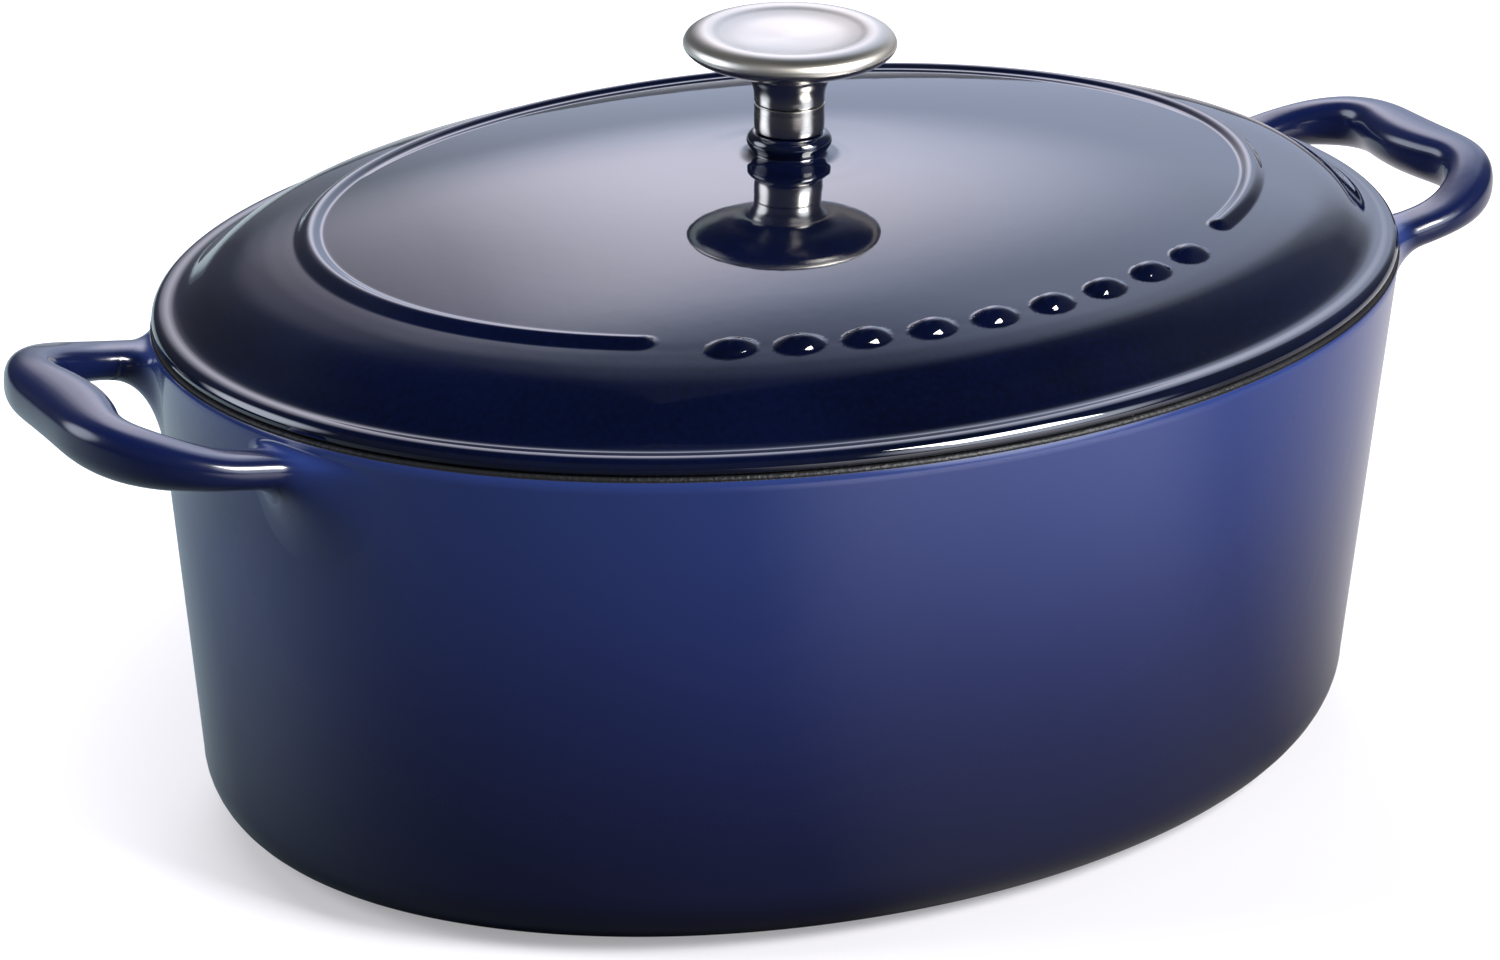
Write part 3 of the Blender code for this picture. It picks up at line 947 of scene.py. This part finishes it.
lid = {
    "edgeInset": 0.0005,
    "edgeHeight": 0.0046,
    "shoulderRise": 0.0136,
    "crownPower": 2.0,
    "beadX": 0.1212,
    "beadY": 0.0902,
    "beadHalf": 0.0034,
    "beadHeight": 0.0015,
    "beadFoot": (0.0032, 0.00065),  # out and down, where the slope meets the bead
    "beadGap": 39.0,  # degrees to each side of the front
    "crown": 0.1550,
    "crownTuck": 0.0002,
    "bossRadius": 0.0103,
    "bossTop": lidHigh.z,
    "padRadius": 0.0140,
    "padHeight": 0.1490,
    "hole": 0.0032,
    "thickness": 0.0037,
    "lipDrop": 0.0065,
    "lipWidth": 0.0036,
    "lipClearance": 0.0018,
    "fineSpan": (-0.006, 0.012),  # rows are twice as close about the bead
}

pips = {
    "count": 9,
    "length": 0.0110,
    "width": 0.0092,
    "height": 0.0022,
    "span": 30.0,  # degrees to each side of the front
    "outset": 0.0030,
    "fullness": 0.95,
}

lidEdge = seat + lid["edgeHeight"]
lidShoulder = lidEdge + lid["shoulderRise"]


# Column angles: close together across the pips and the bead's ends, wider elsewhere
def lidAngles():
    near = np.radians(np.arange(-44.0, 44.01, 0.4) - 90)
    far = np.radians(np.arange(-44.6, 223.8, 1.4))
    return np.concatenate((near, far))


# Degrees from the front, -180 to 180
def fromFront(angle):
    return (np.degrees(angle) + 90 + 180) % 360 - 180


# Height of the bead and the pips at an offset from the bead's middle line
def raisedWork(offset, angles):
    speed = np.hypot(lid["beadX"] * np.sin(angles), lid["beadY"] * np.cos(angles))
    pastEnd = np.radians(np.abs(fromFront(angles)) - lid["beadGap"]) * speed
    beyond = np.maximum(0.0, lid["beadHalf"] - pastEnd)
    away = np.clip(np.hypot(offset, beyond) / lid["beadHalf"], 0, 1)
    height = lid["beadHeight"] * (1 - away ** 2) ** 1.5
    for number in range(pips["count"]):
        middle = pips["span"] * (2 * number / (pips["count"] - 1) - 1)
        along = np.radians(fromFront(angles) - middle) * speed
        away = (2 * along / pips["length"]) ** 2 + (2 * (offset - pips["outset"]) / pips["width"]) ** 2
        height = np.maximum(height, pips["height"] * np.clip(1 - away, 0, 1) ** pips["fullness"])
    return height


# Control rows of the outside, from the rim seat over the edge and slope to the boss
def lidTopRows():
    top, shoulder = lidEdge, lidShoulder
    half, wide, inset = vessel["halfLength"], vessel["halfWidth"], lid["edgeInset"]
    toBead = half - lid["beadX"]
    out, down = lid["beadFoot"]
    outline = [
        (inset + 0.0007, seat), (inset + 0.0001, seat + 0.0006), (inset, seat + 0.0011),
        (inset, top - 0.0030), (inset + 0.0005, top - 0.0019), (inset + 0.0014, top - 0.0011),
        (inset + 0.0026, top - 0.0008), (0.0058, top - 0.0006), (0.0080, top + 0.0004),
        (0.0108, top + 0.0026), (0.0150, top + 0.0060), (0.0205, top + 0.0090),
        (0.0265, top + 0.0109), (0.0320, top + 0.0122), (toBead - out, shoulder - down),
    ]
    # the slope narrows evenly from the edge's oval to the bead's, which is longer for its width
    squeeze = 1 - (wide - lid["beadY"]) / toBead
    controls = [(half - i, wide - i * (1 - squeeze * i / toBead), z) for i, z in outline]
    for part in (0.0, 0.04, 0.09, 0.15, 0.22, 0.31, 0.40, 0.50, 0.60, 0.70, 0.79, 0.87):
        rise = (lid["crown"] - lid["crownTuck"] - shoulder) * (1 - (1 - part) ** lid["crownPower"])
        controls.append((lid["beadX"] + (lid["bossRadius"] - lid["beadX"]) * part,
                         lid["beadY"] + (lid["bossRadius"] - lid["beadY"]) * part, shoulder + rise))
    return throughPoints(controls, 4)


def bossRows():
    r, low, top = lid["bossRadius"], lid["crown"], lid["bossTop"]
    controls = [
        (0.0178, low - lid["crownTuck"]), (r + 0.0038, low - 0.0001), (r + 0.0012, low + 0.0001),
        (r - 0.0012, low + 0.0011), (r - 0.0009, low + 0.0018), (r, low + 0.0034),
        (r - 0.0002, low + 0.0047), (r - 0.0013, top - 0.0002), (r - 0.0024, top), (0.0060, top),
    ]
    return [(radius, radius, z) for radius, z in throughPoints(controls, 4)]


# Rows of the screw hole, of the hollow under the dome, and of the lip that drops inside the rim
def lidUnderRows():
    half, wide = vessel["halfLength"], vessel["halfWidth"]
    hole, pad, under = lid["hole"], lid["padRadius"], lid["padHeight"]
    bore = [(hole, hole, lid["bossTop"]), (hole, hole, under)]
    padEdge = [(pad - 0.001, under), (pad - 0.0003, under + 0.0003), (pad, under + 0.0008)]
    dome = []
    for part in (0.86, 0.78, 0.64, 0.50, 0.36, 0.24, 0.12, 0.0):
        rise = (lid["crown"] - lidShoulder) * (1 - (1 - part) ** lid["crownPower"])
        dome.append((lid["beadX"] + (pad - lid["beadX"]) * part,
                     lid["beadY"] + (pad - lid["beadY"]) * part, lidShoulder + rise - lid["thickness"]))
    lipOut = vessel["wall"] + lid["lipClearance"]
    lipIn = lipOut + lid["lipWidth"]
    low = seat - lid["lipDrop"]
    for inset, z in ((0.0320, lidEdge + 0.0086), (0.0240, lidEdge + 0.0062),
                     (0.0175, lidEdge + 0.0028), (lipIn + 0.0030, seat - 0.0005),
                     (lipIn + 0.0006, low + 0.0016)):
        dome.append((half - inset, wide - inset, z))
    hollow = [(radius, radius, z) for radius, z in padEdge] + throughPoints(dome, 3)
    lip = []
    for inset, z in ((lipIn + 0.0002, low + 0.0007), (lipIn - 0.0008, low), (lipOut + 0.0008, low),
                     (lipOut + 0.0002, low + 0.0003), (lipOut, low + 0.0010),
                     (lipOut - 0.0003, seat - 0.0009), (lipOut - 0.0009, seat)):
        lip.append((half - inset, wide - inset, z))
    return bore, hollow, lip


# Put one more row between each two that lie about the bead
def closerRows(rows):
    low, high = lid["fineSpan"]
    fine = [rows[0]]
    for row in rows[1:]:
        if low < row[0] - lid["beadX"] < high:
            fine.append((fine[-1] + row) / 2)
        fine.append(row)
    return fine


def makeLid():
    angles = lidAngles()
    skin = Skin()
    outside, rim, inside = range(3)
    rings = []
    for semiX, semiY, z in closerRows(lidTopRows()):
        ring = ovalRing(semiX, semiY, z, angles)
        ring[:, 2] += raisedWork(semiX - lid["beadX"], angles)
        rings.append((ring, outside))
    bore, hollow, lip = lidUnderRows()
    for rows, zone in ((bossRows(), outside), (bore, rim), (hollow, inside), (lip, rim)):
        rings += [(ovalRing(x, y, z, angles), zone) for x, y, z in rows]
    first = before = skin.ring(rings[0][0])
    for ring, zone in rings[1:]:
        made = skin.ring(ring)
        skin.join(before, made, zone)
        before = made
    skin.join(before, first, rim)
    piece = skin.build("lid_top", (lidEnamelMaterial(lidGlaze), rimBlack, insideCream))
    piece.data.set_sharp_from_angle(angle=math.radians(50))
    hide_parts("lid_casting")
    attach(piece, "lid")
    print("lid", len(piece.data.polygons), "faces")


knob = {
    "columns": 144,
    "joint": sleeveHigh.z + 0.0003,  # a fine seam over the sleeve
    "bore": 0.0053,
    "dish": 0.1844,
    "core": 0.1768,
}


def turnedPiece(name, profile, material, body, node, steps, closed):
    angles = np.linspace(0, 2 * math.pi, knob["columns"], endpoint=False)
    skin = Skin()
    rows = throughPoints(profile, steps)
    first = before = skin.ring(ovalRing(rows[0][0], rows[0][0], rows[0][1], angles))
    if not closed:
        skin.cap(first, 0, True)
    for radius, z in rows[1:]:
        made = skin.ring(ovalRing(radius, radius, z, angles))
        skin.join(before, made, 0)
        before = made
    if closed:
        skin.join(before, first, 0)
    else:
        skin.cap(before, 0, False)
    piece = skin.build(name, (material,))
    piece.data.set_sharp_from_angle(angle=math.radians(40))
    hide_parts(node)
    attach(piece, body)
    return piece


def makeKnob():
    steel = metalMaterial("satin_steel")
    bore, core, joint = knob["bore"], knob["core"], knob["joint"]
    turnedPiece("knob_top", [
        (0.0049, core), (bore, core), (bore, joint + 0.0002), (bore + 0.0004, joint),
        (0.00845, joint), (0.0085, joint + 0.00006), (0.0086, 0.1705), (0.0088, 0.1718),
        (0.0094, 0.1736), (0.0103, 0.1757), (0.0126, 0.1770), (0.0172, 0.1782), (0.0215, 0.1797),
        (0.0245, 0.1813), (0.0257, 0.1829), (0.0252, 0.1845), (0.0236, 0.1858), (0.0212, 0.1865),
        (0.0190, 0.1864), (0.0167, 0.1858), (0.0132, 0.1851), (0.0090, 0.1847), (0.0050, 0.1845),
        (0.0010, knob["dish"])],
        steel, "lid", "knob_cap", 6, False)
    low, high = sleeveLow.z, sleeveHigh.z
    turnedPiece("knob_neck", [
        (bore, low), (0.0079, low), (0.0083, low + 0.0002), (0.0085, low + 0.0012),
        (0.0085, high - 0.0014), (0.0085, high - 0.00006), (0.00845, high), (bore, high)],
        steel, "lid", "knob_sleeve", 5, True)
    print("knob turned")


# The small parts under the lid keep their own shape and get their plating
def finishFixings():
    zinc, brass = metalMaterial("zinc_plate"), metalMaterial("turned_brass")
    for name, material in (("knob_screw", zinc), ("flat_washer", zinc), ("lock_washer", zinc),
                           ("knob_insert", brass)):
        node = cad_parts[name]
        node.data.materials.clear()
        node.data.materials.append(material)
    print("fixings finished")


bpy.context.scene.view_settings.view_transform = "Standard"
placeCamera(cameraSet)
placeLights(lights)
makeWorld(studio)
makeFloor(floorSet)
print("camera, lights and floor set")
makePot()
makeLid()
makeKnob()
finishFixings()
